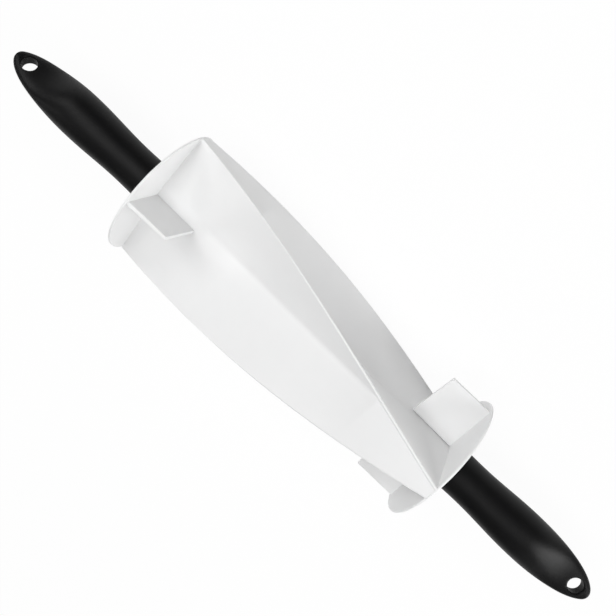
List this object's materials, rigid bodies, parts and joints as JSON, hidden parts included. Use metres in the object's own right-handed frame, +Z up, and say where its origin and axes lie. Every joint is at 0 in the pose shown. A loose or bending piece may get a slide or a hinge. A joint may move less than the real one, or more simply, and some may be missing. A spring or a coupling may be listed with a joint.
{
  "type": "croissant cutter roller",
  "caption": "Hollow white roller with zig-zag cutting ridges and slit fins, turning freely on an axle between black hang-up handles, for cutting croissant triangles from a dough sheet.",
  "frame": {"origin": "on the axle, at the middle of the roller", "axes": "+X along the axle to the right handle, +Z up through the roller as it lies on a table"},
  "size_m": [0.39, 0.0728, 0.0728],
  "materials": {
    "white_plastic": "satin",
    "black_plastic": "satin",
    "bearing_plastic": "smooth",
    "steel": "brushed",
    "brass": "turned"
  },
  "bodies": {
    "handle_set": {"axle_rod": "steel", "left_handle": "black_plastic", "right_handle": "black_plastic", "left_insert": "brass", "right_insert": "brass", "left_lock_nut": "steel", "right_lock_nut": "steel", "left_thrust_washer": "steel", "right_thrust_washer": "steel"},
    "roller": {"front_shell": "white_plastic", "back_shell": "white_plastic", "left_end_plate": "white_plastic", "right_end_plate": "white_plastic", "left_bush": "bearing_plastic", "right_bush": "bearing_plastic"}
  },
  "joints": [
    {"name": "roller_spin", "type": "hinge", "parent": "handle_set", "child": "roller", "pos_m": [0, 0, 0], "axis": [1, 0, 0], "continuous": true}
  ]
}
